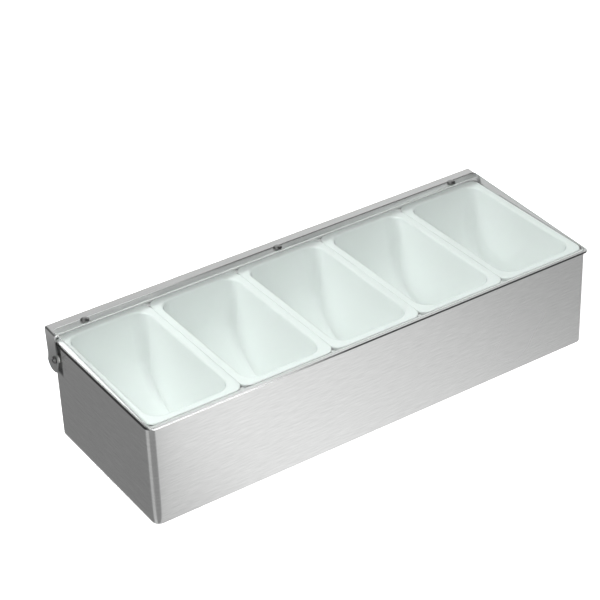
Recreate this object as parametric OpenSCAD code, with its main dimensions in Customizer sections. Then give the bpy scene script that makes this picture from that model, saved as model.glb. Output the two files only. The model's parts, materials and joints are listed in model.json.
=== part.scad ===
// Countertop condiment caddy: a folded steel housing that holds five lift-out
// trays in a row, under one clear flat lid. The lid is riveted to a steel rail
// whose two ears turn on screws in the end walls.
//
// Millimetres, +Z up, +X along the row of trays, -Y is the front.
// The origin is the centre of the underside that the caddy stands on.

/* [Housing] */
// Length of the housing from end to end
body_l = 460; // [420:1:520]
// Depth of the housing from front to back
body_d = 165; // [150:1:190]
// Height of the housing
body_h = 98; // [90:1:130]
// Thickness of the housing sheet
sheet_t = 1; // [0.8:0.1:1.2]
// Outside radius of the four upright corners
corner_r = 7; // [7:0.5:12]
// Width of the inward ledge that carries the tray rims
ledge_w = 4.5; // [3:0.5:4.5]

/* [Base pan] */
// Thickness of the floor pan's sheet
pan_t = 1; // [0.8:0.1:1.2]
// Height of the pan's upturned flange
pan_h = 8; // [5:0.5:14]
// Outside radius of the bend between floor and flange
pan_bend_r = 2; // [1.5:0.25:3]

/* [Trays] */
// Depth from the rim's top to the inside floor
tray_depth = 62; // [45:1:66]
// Thickness of the moulded walls
tray_wall = 2; // [1.5:0.1:2.5]
// Draft of the walls, in degrees
tray_draft = 5; // [2:0.5:7]
// Radius that scoops the front and back walls into the floor
scoop_r = 28; // [18:1:34]
// Radius between the side walls and the floor
side_r = 5; // [4:1:14]
// Plan radius of the opening's corners
open_r = 14; // [10:1:18]
// Plan radius of the corners at the inside floor
floor_r = 6; // [5:1:12]
// Plan radius of the rim's outer corners
rim_r = 9; // [7:1:18]
// Thickness of the rim
rim_t = 2.2; // [1.6:0.1:3]
// How far the rim's top stands above the housing
rim_proud = 0.3; // [0.2:0.1:0.8]
// Radius of the soft edge where the rim turns into the opening
lip_r = 1.8; // [1:0.1:2.4]
// Radius of the rim's outer top edge
rim_edge_r = 0.6; // [0.3:0.1:1]
// Gap between neighbouring rims
rim_gap = 0.4; // [0.2:0.1:1]

/* [Hinge rail] */
// Thickness of the rail's sheet
rail_t = 1; // [0.8:0.1:1.2]
// Width of the rail's flange
rail_w = 17.4; // [17:0.2:20]
// Height of the flange's top over the pivot
rail_rise = 23.2; // [22:0.2:28]
// How far the flange's rear edge lies behind the pivot
rail_rear = 19.4; // [17:0.2:21]
// Outside radius of the bends between flange and ears
rail_bend_r = 2.2; // [1.6:0.1:3]
// Angle at which the ears spread outward, in degrees
ear_splay = 6; // [3:0.5:6.5]
// Width of an ear at the pivot
ear_w = 17; // [15:0.5:18.5]
// How far an ear's front edge lies ahead of the pivot
ear_front = 4.8; // [4:0.2:7]
// Radius of the ears' lower end
ear_end_r = 12.2; // [11:0.2:14]
// How far that radius is centred behind the pivot
ear_end_y = 1.7; // [0.5:0.1:3]
// Distance of the pivot from the housing's back face
pivot_in = 10.5; // [10:0.5:14]
// Distance of the pivot below the housing's top
pivot_down = 15.6; // [15:0.2:18]

/* [Lid] */
// Thickness of the clear sheet
lid_t = 2; // [1.5:0.5:4]
// Plan radius of the lid's corners
lid_r = 4; // [2:0.5:8]
// How far the lid reaches past the housing's front
lid_overhang = 4.1; // [1:0.1:6]
// How far the lid's rear edge lies in front of the flange's rear edge
lid_set_in = 10.6; // [9:0.2:11]
// How far each end of the lid lies inside the flange's end
lid_end_in = 2.2; // [1:0.1:3]

/* [Fasteners] */
// Distance of the outer rivets from the housing's ends
rivet_in = 31.4; // [20:0.2:60]
// Distance of the rivets from the lid's rear edge
rivet_edge = 3; // [2.5:0.25:4]
// Radius of the rivet shanks
rivet_r = 1.6; // [1.2:0.1:2]
// Diameter of the domed rivet heads
rivet_head_d = 8; // [6:0.5:9]
// Height of the domed rivet heads
rivet_head_h = 1.8; // [1.2:0.1:2.4]
// Diameter of the upset rivet tails
rivet_tail_d = 5.5; // [4.5:0.25:6]
// Height of the upset rivet tails
rivet_tail_h = 1.2; // [0.8:0.1:1.6]
// Radius of the pivot screws
screw_r = 2; // [1.5:0.25:2.5]
// Diameter of the screw heads
screw_head_d = 7; // [6.5:0.25:9]
// Height of the screw heads
screw_head_h = 2; // [1.5:0.1:3]
// Diameter of the spacer washers
washer_d = 8; // [7:0.5:9]
// Thickness of the spacer washers
washer_t = 1.4; // [1.2:0.1:2]
// Width across the flats of the nuts
nut_af = 7; // [6.5:0.25:8]
// Thickness of the nuts
nut_t = 3; // [2:0.1:3.2]

/* [Hidden] */

// Clearances
pan_gap = 0.1;       // pan flange to housing wall
rim_side_gap = 0.4;  // tray rim to the housing's fold, front and back
body_gap = 0.7;      // ledge to tray wall, over and above the rim's own gap
rest_gap = 0.1;      // closed lid over the front rims
pin_fit = 0.05;      // ears on the screws, radial
hole_fit = 0.1;      // other holes over their shanks, radial
side_play = 0.1;     // along the pivot, on each side of washer and ear
nut_fit = 0.05;      // nut bore over the screw, radial
screw_tip = 0.5;     // screw end past its nut

$fn = 48;
corner_steps = 9;    // segments round each corner of a tray ring
scoop_steps = 8;     // rings down the inside scoop
shell_steps = 5;     // rings down the outside scoop
lip_steps = 3;       // rings round the soft lip
bend_steps = 8;      // facets round each bend of the rail
tray_count = 5;

// Housing: the wall folds over at the top and returns as a ledge
fold_w = 2 * sheet_t;
ledge_z = body_h + rim_proud - rim_t;

// Trays
rim_top = body_h + rim_proud;
tray_pitch = (body_l - 2 * fold_w) / tray_count;
rim_l = tray_pitch - rim_gap;
rim_d = body_d - 2 * fold_w - 2 * rim_side_gap;
lip_w = ledge_w + body_gap + tray_wall;
open_l = rim_l - 2 * lip_w;
open_d = rim_d - 2 * lip_w;
floor_z = rim_top - tray_depth;

// Hinge: pivot, half-length of the flange, and the tilt at which the lid rests
// on the front edge of the tray rims. Each ear's inner face clears the top of
// its spacer washer.
pivot_y = body_d / 2 - pivot_in;
pivot_z = body_h - pivot_down;
ear_in = body_l / 2 + washer_t + 2 * side_play;
rail_half = ear_in + rail_t / cos(ear_splay) - (rail_rise - washer_d / 2) * tan(ear_splay);
rest_y = -rim_d / 2;
rest_z = rim_top + rest_gap;
tilt = asin(rail_rise / norm([pivot_y - rest_y, rest_z - pivot_z]))
       - atan2(rest_z - pivot_z, pivot_y - rest_y);

// Lid, in the rail's frame: y runs back along the flange from the pivot
lid_rear = rail_rear - lid_set_in;
lid_front = (-body_d / 2 - lid_overhang - pivot_y + rail_rise * sin(tilt)) / cos(tilt);
lid_half = rail_half - lid_end_in;
rivet_y = lid_rear - rivet_edge;
rivet_x = body_l / 2 - rivet_in;

// Rectangle with round corners, centred on the origin
module rounded_rect(l, d, r) {
    square([l - 2 * r, d], center = true);
    square([l, d - 2 * r], center = true);
    for (x = [-1, 1], y = [-1, 1])
        translate([x * (l / 2 - r), y * (d / 2 - r)]) circle(r);
}

// Sweeps a 2-D section round a rectangle with round corners. The section's x
// is the distance in from the outer face and its y is the height.
module sweep_round(l, d, r) {
    for (k = [0:3]) {
        s = k % 2 == 0 ? [l, d] : [d, l];
        rotate([0, 0, 90 * k]) {
            translate([-s[0] / 2, s[1] / 2 - r, 0])
                rotate([90, 0, 0]) linear_extrude(s[1] - 2 * r) children();
            translate([s[0] / 2 - r, s[1] / 2 - r, 0])
                rotate_extrude(angle = 90) translate([r, 0]) mirror([1, 0]) children();
        }
    }
}

// Section of the housing sheet: wall, fold over the top, return and ledge
module housing_section() {
    square([sheet_t, body_h - sheet_t]);
    translate([sheet_t, body_h - sheet_t]) intersection() {
        circle(sheet_t);
        translate([-sheet_t, 0]) square([2 * sheet_t, sheet_t]);
    }
    translate([sheet_t, ledge_z - sheet_t]) {
        square([sheet_t, body_h - ledge_z]);
        square([sheet_t + ledge_w, sheet_t]);
    }
}

module housing() {
    color([0.66, 0.68, 0.68]) difference() {
        sweep_round(body_l, body_d, corner_r) housing_section();
        translate([0, pivot_y, pivot_z]) rotate([0, 90, 0])
            cylinder(r = screw_r + hole_fit, h = body_l + 2, center = true);
    }
}

// Section of the pan's edge: upturned flange, bend and the start of the floor
module pan_section(reach) {
    translate([0, pan_bend_r]) square([pan_t, pan_h - pan_bend_r]);
    translate([pan_bend_r, pan_bend_r]) intersection() {
        difference() {
            circle(pan_bend_r);
            circle(pan_bend_r - pan_t);
        }
        translate([-pan_bend_r, -pan_bend_r]) square(pan_bend_r);
    }
    translate([pan_bend_r, 0]) square([reach - pan_bend_r, pan_t]);
}

module base_pan() {
    inset = sheet_t + pan_gap;
    pan_l = body_l - 2 * inset;
    pan_d = body_d - 2 * inset;
    pan_r = corner_r - inset;
    color([0.6, 0.62, 0.62]) {
        sweep_round(pan_l, pan_d, pan_r) pan_section(pan_r);
        linear_extrude(pan_t) {
            square([pan_l - 2 * pan_r, pan_d - 2 * pan_r], center = true);
        }
    }
}

// How far the tray wall at height z stands in from the opening's edge. The
// wall has draft, then an arc of radius r turns it into the floor. w is 0 for
// the inside skin and the wall's thickness for the outside skin.
function wall_inset(z, r, w) =
    let (arc_top = floor_z + r - (r + w) * sin(tray_draft),
         centre = (rim_top - floor_z - r * (1 - sin(tray_draft))) * tan(tray_draft) + r * cos(tray_draft))
    z >= arc_top
        ? (rim_top - z) * tan(tray_draft) - w / cos(tray_draft)
        : centre - sqrt(max(0, pow(r + w, 2) - pow(floor_z + r - z, 2)));

// Height of the skin at angle a down the scoop: the draft angle is its start, 90 the floor
function scoop_z(a, w) = floor_z + scoop_r - (scoop_r + w) * sin(a);

// Points round a rectangle with round corners, half sizes a and b, at height z
function ring(a, b, r, z) = [
    for (q = [0:3], i = [0:corner_steps])
        let (t = 90 * (q + i / corner_steps),
             x = q == 0 || q == 3 ? a - r : r - a,
             y = q < 2 ? b - r : r - b)
        [x + r * cos(t), y + r * sin(t), z]];

// Ring of the tray's wall at height z
function wall_ring(z, w) =
    let (fall = (rim_top - z) / tray_depth)
    ring(open_l / 2 - wall_inset(z, side_r, w), open_d / 2 - wall_inset(z, scoop_r, w),
         open_r - (open_r - floor_r) * min(1, fall) + w, z);

// Ring that stands e outside the opening's edge, at height z
function lip_ring(e, z) = ring(open_l / 2 + e, open_d / 2 + e, open_r + e, z);

// Ring at the rim's outer edge, e inside it
function rim_ring(e, z) = ring(rim_l / 2 - e, rim_d / 2 - e, rim_r - e, z);

// Solid skin through a list of rings, closed at both ends
module loft(rings) {
    n = len(rings[0]);
    last = len(rings) - 1;
    sides = [
        for (j = [0:last - 1], i = [0:n - 1])
            let (k = (i + 1) % n)
            each [[j * n + i, (j + 1) * n + i, (j + 1) * n + k],
                  [j * n + i, (j + 1) * n + k, j * n + k]]];
    polyhedron(
        points = [for (r = rings) each r],
        faces = concat([[for (i = [0:n - 1]) i]], sides, [[for (i = [n - 1:-1:0]) last * n + i]]));
}

// One moulded tray: outside skin up from the bottom, out under the rim, over
// the rim, round the lip and down the inside to the floor
module tray(index) {
    outside = [
        for (i = [0:shell_steps])
            wall_ring(scoop_z(90 - (90 - tray_draft) * i / shell_steps, tray_wall), tray_wall)];
    rim = [wall_ring(ledge_z, tray_wall), rim_ring(0, ledge_z),
           rim_ring(0, rim_top - rim_edge_r), rim_ring(rim_edge_r, rim_top)];
    lip = [
        for (i = [0:lip_steps])
            let (a = 90 * i / lip_steps)
            lip_ring(lip_r * (1 - sin(a)), rim_top - lip_r * (1 - cos(a)))];
    inside = [
        for (i = [0:scoop_steps])
            wall_ring(scoop_z(tray_draft + (90 - tray_draft) * i / scoop_steps, 0), 0)];
    color([0.9, 0.93, 0.9])
        translate([(index - (tray_count + 1) / 2) * tray_pitch, 0, 0])
            loft(concat(outside, rim, lip, inside));
}

// Places the lid's pieces: the rail's frame has its origin on the pivot
module on_pivot() {
    translate([0, pivot_y, pivot_z]) rotate([tilt, 0, 0]) children();
}

// Cuts at the three rivets, in the rail's frame
module rivet_holes() {
    for (x = [-1, 0, 1])
        translate([x * rivet_x, rivet_y, 0]) cylinder(r = rivet_r + hole_fit, h = rail_rise + 2 * lid_t);
}

// Points along the right half of the rail's section, in from its outer face by
// inset: round the bend from the flange, then down the spread ear
function rail_path(inset) =
    let (r = rail_bend_r - inset,
         bend_x = rail_half - rail_bend_r * (1 - sin(ear_splay)) / cos(ear_splay),
         bend_z = rail_rise - rail_bend_r,
         ear_len = rail_rise + 2 * ear_end_r)
    concat(
        [for (i = [0:bend_steps])
            let (a = 90 - (90 - ear_splay) * i / bend_steps)
            [bend_x + r * cos(a), bend_z + r * sin(a)]],
        [[bend_x + r * cos(ear_splay) + ear_len * sin(ear_splay),
          bend_z + r * sin(ear_splay) - ear_len * cos(ear_splay)]]);

// Section of the folded rail: flange on top and an ear at each end
module rail_section() {
    outer = rail_path(0);
    inner = rail_path(rail_t);
    last = len(outer) - 1;
    polygon(concat(
        outer,
        [for (i = [last:-1:0]) inner[i]],
        [for (i = [0:last]) [-inner[i][0], inner[i][1]]],
        [for (i = [last:-1:0]) [-outer[i][0], outer[i][1]]]));
}

// Outline of flange and ear seen from the end: the ear leans forward on its
// way down to the pivot and ends in an arc below it
module ear_outline() {
    ear_rear = ear_w - ear_front;
    bend_z = rail_rise - rail_bend_r;
    intersection() {
        polygon([[rail_rear - rail_w, rail_rise], [rail_rear - rail_w, bend_z], [-ear_front, 0],
                 [-ear_front, -ear_end_r], [ear_rear, -ear_end_r], [ear_rear, 0],
                 [rail_rear, bend_z], [rail_rear, rail_rise]]);
        union() {
            translate([ear_end_y, 0]) circle(ear_end_r);
            translate([-2 * ear_end_r, 0]) square([4 * ear_end_r, rail_rise]);
        }
    }
}

// The cuts reach past the spread ears by half the housing's depth
module hinge_rail() {
    reach = body_l + body_d;
    color([0.62, 0.64, 0.64]) on_pivot() difference() {
        intersection() {
            translate([0, rail_rear + 1, 0]) rotate([90, 0, 0])
                linear_extrude(rail_rear + ear_front + 2) rail_section();
            translate([-reach / 2, 0, 0]) rotate([90, 0, 90]) linear_extrude(reach) ear_outline();
        }
        rotate([0, 90, 0]) cylinder(r = screw_r + pin_fit, h = reach, center = true);
        rivet_holes();
    }
}

module lid() {
    color([0.85, 0.9, 0.9, 0.4]) on_pivot() difference() {
        translate([0, (lid_front + lid_rear) / 2, rail_rise])
            linear_extrude(lid_t) rounded_rect(2 * lid_half, lid_rear - lid_front, lid_r);
        rivet_holes();
    }
}

// Section of a domed head: radius r, height h, on the axis
module dome_section(r, h) {
    dome_r = (r * r + h * h) / (2 * h);
    intersection() {
        translate([0, h - dome_r]) circle(dome_r, $fn = 96);
        square([r, h]);
    }
}

// Rivet at x: domed head on the lid, shank through lid and flange, upset tail
module lid_rivet(x) {
    color([0.72, 0.73, 0.73]) on_pivot() translate([x, rivet_y, rail_rise - rail_t]) rotate_extrude() {
        square([rivet_r, rail_t + lid_t]);
        translate([0, rail_t + lid_t]) dome_section(rivet_head_d / 2, rivet_head_h);
        translate([0, -rivet_tail_h]) square([rivet_tail_d / 2, rivet_tail_h]);
    }
}

// Places a piece on the pivot at one end: its z runs outward from the wall's
// outer face. side is -1 on the left and 1 on the right.
module at_end(side) {
    translate([side * body_l / 2, pivot_y, pivot_z]) rotate([0, side * 90, 0]) children();
}

// Pan-head screw: the ear turns on its shank between washer and head. The
// head clears the ear where the ear leans out below it.
module pivot_screw(side) {
    inner_end = sheet_t + nut_t + screw_tip;
    head_z = rail_half + (rail_rise + screw_head_d / 2) * tan(ear_splay) - body_l / 2 + side_play;
    brim_h = screw_head_h / 4;
    color([0.7, 0.71, 0.71]) at_end(side) rotate_extrude() {
        translate([0, -inner_end]) square([screw_r, inner_end + head_z]);
        translate([0, head_z]) square([screw_head_d / 2, brim_h]);
        translate([0, head_z + brim_h]) dome_section(screw_head_d / 2, screw_head_h - brim_h);
    }
}

// Spacer between wall and ear
module washer(side) {
    color([0.85, 0.85, 0.83]) at_end(side) translate([0, 0, side_play]) linear_extrude(washer_t) difference() {
        circle(washer_d / 2);
        circle(screw_r + hole_fit);
    }
}

// Hexagon nut against the inside of the wall
module nut(side) {
    color([0.7, 0.71, 0.71]) at_end(side) translate([0, 0, -sheet_t - nut_t]) linear_extrude(nut_t) difference() {
        circle(nut_af / 2 / cos(30), $fn = 6);
        circle(screw_r + nut_fit);
    }
}

housing();
base_pan();
tray(1);  // tray_1
tray(2);  // tray_2
tray(3);  // tray_3
tray(4);  // tray_4
tray(5);  // tray_5
hinge_rail();
lid();
lid_rivet(-rivet_x);  // lid_rivet_1
lid_rivet(0);  // lid_rivet_2
lid_rivet(rivet_x);  // lid_rivet_3
pivot_screw(-1);  // pivot_screw_left
pivot_screw(1);  // pivot_screw_right
washer(-1);  // washer_left
washer(1);  // washer_right
nut(-1);  // nut_left
nut(1);  // nut_right
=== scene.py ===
import json
from math import cos, radians, sin, sqrt, tan

import bmesh
import bpy
from mathutils import Matrix, Vector


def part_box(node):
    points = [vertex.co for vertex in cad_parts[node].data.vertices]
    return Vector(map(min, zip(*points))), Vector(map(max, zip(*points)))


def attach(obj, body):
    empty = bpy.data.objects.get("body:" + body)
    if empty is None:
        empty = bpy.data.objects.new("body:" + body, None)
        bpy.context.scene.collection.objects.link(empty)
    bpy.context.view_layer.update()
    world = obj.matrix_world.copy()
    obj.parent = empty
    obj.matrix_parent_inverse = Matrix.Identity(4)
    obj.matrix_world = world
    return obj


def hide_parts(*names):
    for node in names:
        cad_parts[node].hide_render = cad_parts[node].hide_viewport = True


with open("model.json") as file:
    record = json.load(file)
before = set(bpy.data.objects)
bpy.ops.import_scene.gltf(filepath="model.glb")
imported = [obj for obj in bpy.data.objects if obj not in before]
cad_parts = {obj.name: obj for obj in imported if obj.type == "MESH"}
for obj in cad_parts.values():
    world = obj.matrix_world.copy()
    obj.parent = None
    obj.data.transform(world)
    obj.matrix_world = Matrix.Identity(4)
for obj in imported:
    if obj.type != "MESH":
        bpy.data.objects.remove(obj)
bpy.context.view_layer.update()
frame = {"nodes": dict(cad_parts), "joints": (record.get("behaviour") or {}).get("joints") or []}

nodes = frame["nodes"]


# Housing: one strip of 1 mm stainless sheet bent round the four corners, its
# upper edge folded over and turned in as a ledge. The outside is brushed along
# the box, so every scratch runs level.
def set_inputs(node, values):
    """Gives a node's inputs their values by name."""
    for name, value in values.items():
        node.inputs[name].default_value = value


def material(name):
    """A new material, with its node tree and its main shader."""
    finish = bpy.data.materials.new(name)
    finish.use_nodes = True
    return finish, finish.node_tree, finish.node_tree.nodes["Principled BSDF"]


def own_place(tree):
    """The shaded point in the piece's own space, in metres."""
    return tree.nodes.new("ShaderNodeTexCoord").outputs["Object"]


def own_axes(tree):
    """The shaded point's X, Y and Z in the piece's own space."""
    split = tree.nodes.new("ShaderNodeSeparateXYZ")
    tree.links.new(own_place(tree), split.inputs["Vector"])
    return split.outputs


def noise(tree, place, scale, detail=2.0, roughness=0.5):
    """A soft random pattern over the given place, with scale cells to its unit."""
    pattern = tree.nodes.new("ShaderNodeTexNoise")
    set_inputs(pattern, {"Scale": scale, "Detail": detail, "Roughness": roughness})
    tree.links.new(place, pattern.inputs["Vector"])
    return pattern.outputs["Fac"]


def ranged(tree, source, start, end, low=0.0, high=1.0):
    """The source, brought from start..end to low..high and held there."""
    step = tree.nodes.new("ShaderNodeMapRange")
    set_inputs(step, {"From Min": start, "From Max": end, "To Min": low, "To Max": high})
    tree.links.new(source, step.inputs["Value"])
    return step.outputs["Result"]


def varied(tree, pattern, low, high):
    """A noise pattern, whose values lie mostly from 0.3 to 0.7, spread over low..high."""
    return ranged(tree, pattern, 0.3, 0.7, low, high)


def worked_out(tree, operation, first, second=None):
    """The outcome of a math node on a source and, where given, a second source or a plain number."""
    step = tree.nodes.new("ShaderNodeMath")
    step.operation = operation
    tree.links.new(first, step.inputs[0])
    if isinstance(second, float):
        step.inputs[1].default_value = second
    elif second:
        tree.links.new(second, step.inputs[1])
    return step.outputs["Value"]


def raised(tree, shader, pattern, strength, height):
    """Gives a shader's surface the relief of a pattern, up to a height in metres."""
    relief = tree.nodes.new("ShaderNodeBump")
    set_inputs(relief, {"Strength": strength, "Distance": height})
    tree.links.new(pattern, relief.inputs["Height"])
    tree.links.new(relief.outputs["Normal"], shader.inputs["Normal"])


def brushed_steel(name, colour, run, rough, streak=0.05, depth=0.04):
    """Stainless steel brushed by the stretch in run: small along the stroke, large across it."""
    uneven, scratch_height = 0.04, 0.0002
    steel, tree, metal = material(name)
    set_inputs(metal, {"Metallic": 1.0, "Anisotropic": 0.5})
    place = own_place(tree)
    strokes = tree.nodes.new("ShaderNodeMapping")
    strokes.inputs["Scale"].default_value = run
    tree.links.new(place, strokes.inputs["Vector"])
    lines = noise(tree, strokes.outputs["Vector"], scale=1.0, detail=4.0, roughness=0.65)
    bands = noise(tree, place, scale=9.0)
    tint = tree.nodes.new("ShaderNodeVectorMath")
    tint.operation = "SCALE"
    tint.inputs[0].default_value = colour
    tree.links.new(varied(tree, lines, 1.0 - streak, 1.0 + streak), tint.inputs["Scale"])
    tree.links.new(tint.outputs["Vector"], metal.inputs["Base Color"])
    tree.links.new(varied(tree, bands, rough - uneven, rough + uneven), metal.inputs["Roughness"])
    raised(tree, metal, lines, depth, scratch_height)
    return steel


def merged(node):
    """The CAD node's surface as one closed mesh, with its flat faces whole again."""
    same_point, same_plane = 2e-6, radians(0.2)
    form = bmesh.new()
    form.from_mesh(nodes[node].data)
    bmesh.ops.remove_doubles(form, verts=form.verts, dist=same_point)
    bmesh.ops.dissolve_limit(form, angle_limit=same_plane, verts=form.verts, edges=form.edges)
    return form


def placed(form, name):
    """Turns a bmesh into an object of the scene."""
    mesh = bpy.data.meshes.new(name)
    form.to_mesh(mesh)
    form.free()
    piece = bpy.data.objects.new(name, mesh)
    bpy.context.collection.objects.link(piece)
    return piece


def finish_piece(form, name, node, body, finish, bend=35):
    """Makes the piece that stands for a CAD node, with edges sharper than bend degrees kept."""
    piece = placed(form, name)
    for face in piece.data.polygons:
        face.use_smooth = True
    piece.data.set_sharp_from_angle(angle=radians(bend))
    piece.data.materials.append(finish)
    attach(piece, body)
    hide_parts(node)
    return piece


def even_normals(piece):
    """Keeps the large flat faces flat where they meet a bend."""
    weights = piece.modifiers.new("even normals", "WEIGHTED_NORMAL")
    weights.keep_sharp = True
    weights.weight = 100


def within(tree, limits):
    """A mask that is 1 past all the limits, each a source, where it starts and where it is full."""
    mask = None
    for source, start, full in limits:
        step = ranged(tree, source, start, full)
        mask = worked_out(tree, "MULTIPLY", step, mask) if mask else step
    return mask


housing_steel = brushed_steel(
    "housing steel", (0.78, 0.785, 0.78), run=(60, 60, 900), rough=0.24, streak=0.07)

# Painted shade: the steel's colour goes near black in the crease under the fold
# on both ends, and on the wall behind each ear, where shade falls. Both are set
# by distances from the ends, the rim and the pivot.
tree = housing_steel.node_tree
axes = own_axes(tree)
outward = worked_out(tree, "ABSOLUTE", axes["X"])
end_x, rim_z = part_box("housing")[1].x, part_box("housing")[1].z
pivot_y, pivot_z = frame["joints"][0]["pos_m"][1:]
painted_fold_shade = within(tree, (
    (outward, end_x - 0.0035, end_x - 0.001),
    (axes["Z"], rim_z - 0.0028, rim_z - 0.0018),
    (axes["Z"], rim_z + 0.0002, rim_z - 0.0004)))
painted_ear_shade = within(tree, (
    (outward, end_x - 0.0025, end_x - 0.001),
    (axes["Y"], pivot_y - 0.0085, pivot_y - 0.006),
    (axes["Z"], pivot_z - 0.0164, pivot_z - 0.0124)))
darker = tree.nodes.new("ShaderNodeMix")
darker.data_type = "RGBA"
bare, shaded, toned = darker.inputs[6], darker.inputs[7], darker.outputs[2]
shaded.default_value = (0.06, 0.06, 0.06, 1)
base_colour = tree.nodes["Principled BSDF"].inputs["Base Color"]
tree.links.new(worked_out(tree, "MAXIMUM", painted_fold_shade, painted_ear_shade), darker.inputs["Factor"])
tree.links.new(base_colour.links[0].from_socket, bare)
tree.links.new(toned, base_colour)
housing = finish_piece(merged("housing"), "steel_housing", "housing", "caddy", housing_steel)
even_normals(housing)

# Base pan: a shallow tray of the same sheet with its edge turned up, set into
# the foot of the housing and spot-welded there. It keeps its mill finish.
pan_steel = brushed_steel("pan steel", (0.6, 0.62, 0.62), run=(12, 900, 900), rough=0.42, depth=0.03)
base_pan = finish_piece(merged("base_pan"), "floor_pan", "base_pan", "caddy", pan_steel)
even_normals(base_pan)


# Trays: five lift-out food pans injection-moulded in glossy white plastic with
# a faint green cast. Each hangs in the housing by its rim on the ledge, and its
# bottom is one long dish, scooped up to the front and back.
def graded(tree, source, stops, blend="LINEAR"):
    """A colour for every value of the source, from stops of a value and its colour."""
    ramp = tree.nodes.new("ShaderNodeValToRGB")
    ramp.color_ramp.interpolation = blend
    first, *between, last = stops
    for element, (spot, colour) in zip(ramp.color_ramp.elements, (first, last)):
        element.position = spot
        element.color = (*colour, 1)
    for spot, colour in between:
        ramp.color_ramp.elements.new(spot).color = (*colour, 1)
    tree.links.new(source, ramp.inputs["Fac"])
    return ramp.outputs["Color"]


plastic_ior = 1.49
tray_plastic, tree, plastic = material("tray plastic")
set_inputs(plastic, {
    "IOR": plastic_ior,
    "Subsurface Weight": 0.15,
    "Subsurface Radius": (0.002, 0.0022, 0.002)})
cloud = noise(tree, own_place(tree), scale=14.0, detail=3.0)
cast = graded(tree, cloud, ((0.35, (0.912, 0.932, 0.922)), (0.65, (0.918, 0.936, 0.928))))
tree.links.new(cast, plastic.inputs["Base Color"])
tree.links.new(varied(tree, cloud, 0.05, 0.1), plastic.inputs["Roughness"])
raised(tree, plastic, cloud, strength=0.04, height=0.001)

# A tray's inside sizes: its draft, wall and lip, half its mouth, the bends from
# its side and end walls to its floor, and how far its dish drops below that
# floor, rises again at the ends and stays level in the middle.
tray_draft = radians(5)
tray_wall, lip_depth = 0.002, 0.0023
mouth_half_x, mouth_half_y = 0.038, 0.0734
side_round, end_round = 0.005, 0.028
dish_drop, dish_rise, dish_flat = 0.022, 0.045, 0.006


def drafted_half(z, top, floor_z, arc, mouth):
    """Half the tray's inside width at a height: a drafted wall that an arc turns into the floor."""
    start = floor_z + arc * (1 - sin(tray_draft))
    if z >= start:
        return mouth - (top - z) * tan(tray_draft)
    in_arc = max(0, arc ** 2 - (floor_z + arc - max(z, floor_z)) ** 2)
    return mouth - (top - start) * tan(tray_draft) - arc * cos(tray_draft) + sqrt(in_arc)


def press_dish(form, low, high):
    """Draws a tray's bottom down into one long dish; its rim stays and its side walls run on down."""
    middle = (low.x + high.x) / 2
    floor_z = low.z + tray_wall
    deep_z = floor_z - dish_drop
    arc_top = floor_z + end_round * (1 - sin(tray_draft))
    ledge = high.z - lip_depth
    end_half = mouth_half_y - (high.z - deep_z - dish_rise) * tan(tray_draft)
    for vert in form.verts:
        z = vert.co.z
        if z > ledge:
            continue
        if z > arc_top:
            part = (ledge - z) / (ledge - arc_top)
            deeper = ledge - part * (ledge - deep_z - dish_rise)
            half_y = mouth_half_y - (high.z - deeper) * tan(tray_draft)
        else:
            part = max(0, z - floor_z) / (arc_top - floor_z)
            deeper = deep_z + dish_rise * part + min(0, z - floor_z)
            half_y = dish_flat + (end_half - dish_flat) * sqrt(1 - (1 - part) ** 2)
        was_x = drafted_half(z, high.z, floor_z, side_round, mouth_half_x)
        was_y = drafted_half(z, high.z, floor_z, end_round, mouth_half_y)
        half_x = drafted_half(deeper, high.z, deep_z, side_round, mouth_half_x)
        vert.co = (middle + (vert.co.x - middle) * half_x / was_x, vert.co.y * half_y / was_y, deeper)


for number in range(1, 6):
    node = f"tray_{number}"
    form = merged(node)
    press_dish(form, *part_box(node))
    tray = finish_piece(form, f"moulded_tray_{number}", node, "caddy", tray_plastic, bend=50)
    even_normals(tray)

# Hinge rail: a strip of 1 mm stainless sheet, brushed lengthwise, with an ear
# folded down at each end. The ears spread a little and turn on the pivots.
rail_steel = brushed_steel(
    "rail steel", (0.66, 0.665, 0.66), run=(60, 900, 900), rough=0.34, streak=0.06, depth=0.02)
rail = finish_piece(
    merged("hinge_rail"), "folded_rail", "hinge_rail", "lid_assembly", rail_steel)
even_normals(rail)


# Lid: one plate of clear 2 mm acrylic, laser-cut with polished edges and
# riveted on top of the rail. Lamplight passes it as it would a thin sheet. Its
# cut edges carry a painted glow, white along the left, and painted shade, dark along the right.
def switched(tree, switch, usual, other):
    """Ends a material in its usual shader, and in the other one where the switch is 1."""
    either = tree.nodes.new("ShaderNodeMixShader")
    tree.links.new(switch, either.inputs["Fac"])
    tree.links.new(usual, either.inputs[1])
    tree.links.new(other, either.inputs[2])
    tree.links.new(either.outputs["Shader"], tree.nodes["Material Output"].inputs["Surface"])


def grey(tone):
    """A colour of one tone in red, green and blue."""
    return (tone, tone, tone)


lid_clear, tree, acrylic = material("lid acrylic")
set_inputs(acrylic, {"Base Color": (0.96, 0.985, 0.975, 1), "Transmission Weight": 1.0, "IOR": plastic_ior})
haze = noise(tree, own_place(tree), scale=25.0, detail=3.0)
tree.links.new(varied(tree, haze, 0.0, 0.03), acrylic.inputs["Roughness"])
path = tree.nodes.new("ShaderNodeLightPath")
open_to_lamps = tree.nodes.new("ShaderNodeBsdfTransparent")
open_to_lamps.inputs["Color"].default_value = (0.9, 0.93, 0.92, 1)
switched(tree, path.outputs["Is Shadow Ray"], acrylic.outputs["BSDF"], open_to_lamps.outputs["BSDF"])

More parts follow.
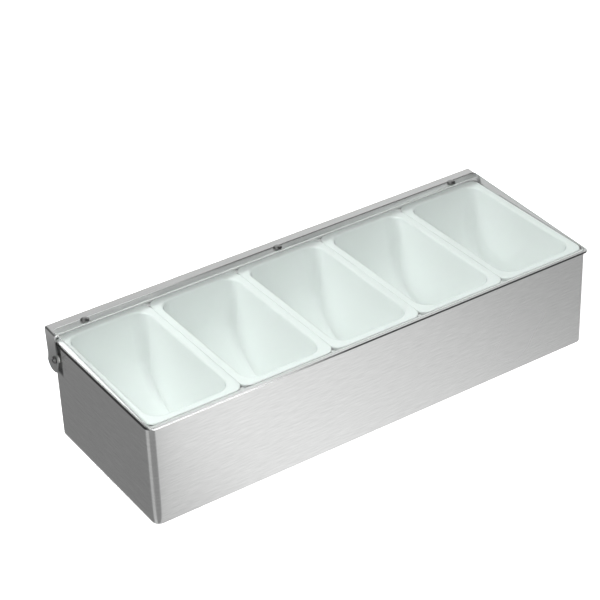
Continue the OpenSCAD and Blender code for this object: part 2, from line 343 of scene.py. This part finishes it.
lid_edge, tree, cut_face = material("lid cut edge")
set_inputs(cut_face, {"IOR": plastic_ior, "Roughness": 0.3, "Emission Strength": 0.35})
left_x, right_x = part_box("lid")[0].x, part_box("lid")[1].x
end_face = (0.4, 0.42, 0.41)
# Painted glow and shade: the cut edges' colour and emission run from white on the left to near black on the
# right.
painted_glow_and_shade = graded(tree, ranged(tree, own_axes(tree)["X"], left_x, right_x), (
    (0.0, end_face), (0.001, grey(0.4)), (0.004, grey(0.9)), (0.2, grey(0.9)),
    (0.32, grey(0.35)), (0.42, grey(0.02)), (0.996, grey(0.02)), (1.0, end_face)))
tree.links.new(painted_glow_and_shade, cut_face.inputs["Base Color"])
tree.links.new(painted_glow_and_shade, cut_face.inputs["Emission Color"])

edge_round = 0.0003
form = merged("lid")
for upright in [face for face in form.faces if abs(face.normal.z) < 0.5]:
    upright.material_index = 1
outline = [edge for edge in form.edges if edge.calc_face_angle(0) > radians(60)]
bmesh.ops.bevel(form, geom=outline, offset=edge_round, segments=2, affect="EDGES", profile=0.5, material=-1)
lid = finish_piece(form, "clear_lid", "lid", "lid_assembly", lid_clear, bend=50)
lid.data.materials.append(lid_edge)
even_normals(lid)

# Rivets: three solid domed rivets through lid and rail, their tails upset
# underneath. Plain bright steel.
fastener_steel = brushed_steel(
    "fastener steel", (0.36, 0.365, 0.36), run=(300, 300, 300), rough=0.28, depth=0.02)
for number in range(1, 4):
    name, node = f"domed_rivet_{number}", f"lid_rivet_{number}"
    rivet = finish_piece(merged(node), name, node, "lid_assembly", fastener_steel)
    even_normals(rivet)

# Pivots: on each end a pan-head screw with a cross recess, a nylon spacer
# between wall and ear, and a nut inside the wall.
nylon, tree, milky = material("washer nylon")
set_inputs(milky, {
    "Base Color": (0.85, 0.85, 0.83, 1),
    "Subsurface Weight": 0.2,
    "Subsurface Radius": (0.001, 0.001, 0.001)})
grain = noise(tree, own_place(tree), scale=900.0)
tree.links.new(ranged(tree, grain, start=0.0, end=1.0, low=0.4, high=0.6), milky.inputs["Roughness"])

slot_depth, slot_length, slot_width, slot_turn = 0.0022, 0.0036, 0.0008, 20


def cut_recess(screw, centre):
    """Cuts a cross recess into a screw, centred on the middle of its head's face."""
    cutter = bmesh.new()
    bar = Matrix.Diagonal((slot_depth, slot_length, slot_width, 1))
    for turn in (slot_turn, slot_turn + 90):
        bmesh.ops.create_cube(cutter, size=1, matrix=Matrix.Rotation(radians(turn), 4, "X") @ bar)
    bmesh.ops.translate(cutter, verts=cutter.verts, vec=centre)
    recess = placed(cutter, "recess")
    cut = screw.modifiers.new("recess", "BOOLEAN")
    cut.object = recess
    cut.operation = "DIFFERENCE"
    cut.use_self = True
    bpy.context.view_layer.update()
    finished = screw.evaluated_get(bpy.context.evaluated_depsgraph_get())
    cut_mesh = bpy.data.meshes.new_from_object(finished)
    screw.modifiers.clear()
    screw.data = cut_mesh
    bpy.data.objects.remove(recess)


for side in ("left", "right"):
    name, node = f"pan_head_screw_{side}", f"pivot_screw_{side}"
    low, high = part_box(node)
    head = low.x if side == "left" else high.x
    screw = finish_piece(merged(node), name, node, "caddy", fastener_steel)
    cut_recess(screw, (head, (low.y + high.y) / 2, (low.z + high.z) / 2))
    node = f"washer_{side}"
    finish_piece(merged(node), f"nylon_spacer_{side}", node, "caddy", nylon)
    node = f"nut_{side}"
    finish_piece(merged(node), f"hex_nut_{side}", node, "caddy", fastener_steel)

# Floor: a plain white table under the caddy, bright enough to meet the
# background without an edge. It keeps the soft shadow round the foot. In
# reflections it shows a painted falloff of light instead, brightest near the left end and fading to the
# right.
half_side = 4
sheet = bmesh.new()
bmesh.ops.create_grid(sheet, x_segments=1, y_segments=1, size=half_side)
floor = placed(sheet, "table")
paper, tree, matt = material("white table")
set_inputs(matt, {
    "Base Color": (0.9, 0.9, 0.9, 1),
    "Roughness": 0.9,
    "Specular IOR Level": 0.0,
    "Emission Color": (1, 1, 1, 1)})
# Painted light falloff, shown only to reflections in place of the lit table.
painted_falloff = graded(tree, ranged(tree, own_axes(tree)["X"], -0.25, 0.35), (
    (0.0, grey(0.45)), (0.2, grey(1.08)), (0.4, grey(0.92)),
    (0.6, grey(0.78)), (0.8, grey(0.54)), (1.0, grey(0.42))), blend="B_SPLINE")
path = tree.nodes.new("ShaderNodeLightPath")
seen = worked_out(tree, "MAXIMUM", path.outputs["Is Camera Ray"], path.outputs["Is Transmission Ray"])
to_white = 0.82
tree.links.new(worked_out(tree, "MULTIPLY", seen, to_white), matt.inputs["Emission Strength"])
shown = tree.nodes.new("ShaderNodeEmission")
tree.links.new(painted_falloff, shown.inputs["Color"])
switched(tree, path.outputs["Is Glossy Ray"], matt.outputs["BSDF"], shown.outputs["Emission"])
floor.data.materials.append(paper)


# Flags: cards round the caddy that only reflections see. Grey ones on the table
# are painted shadow: they stand for the caddy's own shade on the table and give the
# end and the front bend their deeper tones. A white one in front lights the left
# half of the front edge, and one high at the back lights the rail.
def flag(name, corners, tone):
    """A flat card with the given corners, seen only in reflections, of the given grey."""
    card = bmesh.new()
    bmesh.ops.contextual_create(card, geom=[card.verts.new(corner) for corner in corners])
    standing = placed(card, name)
    paint, tree, _ = material(name + " grey")
    even = tree.nodes.new("ShaderNodeEmission")
    even.inputs["Strength"].default_value = tone
    tree.links.new(even.outputs["Emission"], tree.nodes["Material Output"].inputs["Surface"])
    standing.data.materials.append(paint)
    standing.visible_camera = standing.visible_diffuse = False
    standing.visible_transmission = standing.visible_shadow = False


on_table = 0.0004
# Painted shadow: grey cards flat on the table where the caddy's shade falls, seen only in the steel.
flag("end_shadow_card", (
    (-0.2305, -0.079, on_table), (-0.43, 0.0, on_table),
    (-0.43, 0.225, on_table), (-0.2305, 0.26, on_table)), 0.25)
flag("bend_shadow_card", ((-0.227, -0.081, on_table), (-0.42, -0.163, on_table), (-0.165, -0.282, on_table)), 0.3)
flag("bend_shadow_fade", ((-0.226, -0.082, on_table), (-0.165, -0.282, on_table), (-0.12, -0.27, on_table)), 0.6)
flag("front_card", ((-0.5, -0.9, 0.1), (0.4, -0.9, 0.1), (0.4, -0.9, 1.3), (-0.5, -0.9, 1.3)), 1.3)
flag("back_card", ((-0.29, 1.34, 1.48), (0.13, 1.98, 0.32), (1.79, 0.86, 0.32), (1.37, 0.22, 1.48)), 0.85)


# Room: white to the eye and through the lid. The steel mirrors it as grey that
# darkens to the left rear and the right front, and it hardly lights the rest.
def toward(tree, bearing, direction):
    """How far a ray with the given bearing heads in a direction."""
    heading = tree.nodes.new("ShaderNodeVectorMath")
    heading.operation = "DOT_PRODUCT"
    heading.inputs[1].default_value = direction
    tree.links.new(bearing, heading.inputs[0])
    return heading.outputs["Value"]


world = bpy.data.worlds.new("pale room")
bpy.context.scene.world = world
world.use_nodes = True
tree = world.node_tree
room = tree.nodes["Background"]
room.inputs["Color"].default_value = (1, 1, 1, 1)
path = tree.nodes.new("ShaderNodeLightPath")
bearing = tree.nodes.new("ShaderNodeTexCoord").outputs["Generated"]
in_sight = worked_out(tree, "MAXIMUM", path.outputs["Is Camera Ray"], path.outputs["Is Transmission Ray"])
direct = worked_out(tree, "LESS_THAN", path.outputs["Diffuse Depth"], 0.5)
looked_at = worked_out(tree, "MULTIPLY", in_sight, direct)
mirrored = worked_out(tree, "MULTIPLY", path.outputs["Is Glossy Ray"], direct)
to_left_rear = toward(tree, bearing, (-0.65, 0.7, 0.0))
to_right_front = toward(tree, bearing, (0.8, -0.6, 0.0))
left_rear = ranged(tree, to_left_rear, start=0.35, end=0.85, low=0.6, high=0.04)
right_front = ranged(tree, to_right_front, start=-0.02, end=0.1, low=1.0, high=0.1)
in_steel = worked_out(tree, "MULTIPLY", mirrored, worked_out(tree, "MULTIPLY", left_rear, right_front))
on_rest = ranged(tree, mirrored, start=0.0, end=1.0, low=0.02, high=0.0)
level = worked_out(tree, "MAXIMUM", worked_out(tree, "ADD", in_steel, on_rest), looked_at)
tree.links.new(level, room.inputs["Strength"])


# Lamps: soft square ones from above, from the left, the left rear and the far
# front. They light what is matt, and no reflection shows them.
def soft_lamp(name, place, side, watts):
    """A square area lamp of the given side, aimed at the caddy and left out of reflections."""
    lamp = bpy.data.lights.new(name, "AREA")
    lamp.size = side
    lamp.energy = watts
    stand = bpy.data.objects.new(name, lamp)
    bpy.context.collection.objects.link(stand)
    stand.visible_glossy = False
    stand.visible_transmission = False
    aim = caddy_middle - Vector(place)
    stand.matrix_world = Matrix.Translation(place) @ aim.to_track_quat("-Z", "Y").to_matrix().to_4x4()


caddy_middle = Vector((0, 0, 0.06))
soft_lamp("top lamp", (-0.15, 0.15, 1.5), 0.5, 2.6)
soft_lamp("left lamp", (-1.1, -0.2, 1.3), 0.6, 7.5)
soft_lamp("rear lamp", (-1.0, 0.5, 1.3), 0.6, 17.0)
soft_lamp("front lamp", (-0.3, -1.8, 2.2), 1.0, 34.0)

# Camera: a long lens above the left front corner. It is set by the point on the
# table it looks at, its distance, the way it faces, its look down and its roll.
lens = bpy.data.cameras.new("camera")
lens.sensor_width = 36
lens.lens = 116.28
lens.clip_end = 20
camera = bpy.data.objects.new("camera", lens)
bpy.context.collection.objects.link(camera)
looked_at_point, distance = (0.05817, 0.13242, 0), 1.87841
facing, downward, roll = radians(-32.927), radians(32.608), radians(-2.173)
camera.matrix_world = (Matrix.Translation(looked_at_point)
                       @ Matrix.Rotation(facing, 4, "Z")
                       @ Matrix.Rotation(radians(90) - downward, 4, "X")
                       @ Matrix.Rotation(roll, 4, "Z")
                       @ Matrix.Translation((0, 0, distance)))
bpy.context.scene.camera = camera
bpy.context.scene.view_settings.view_transform = "Standard"
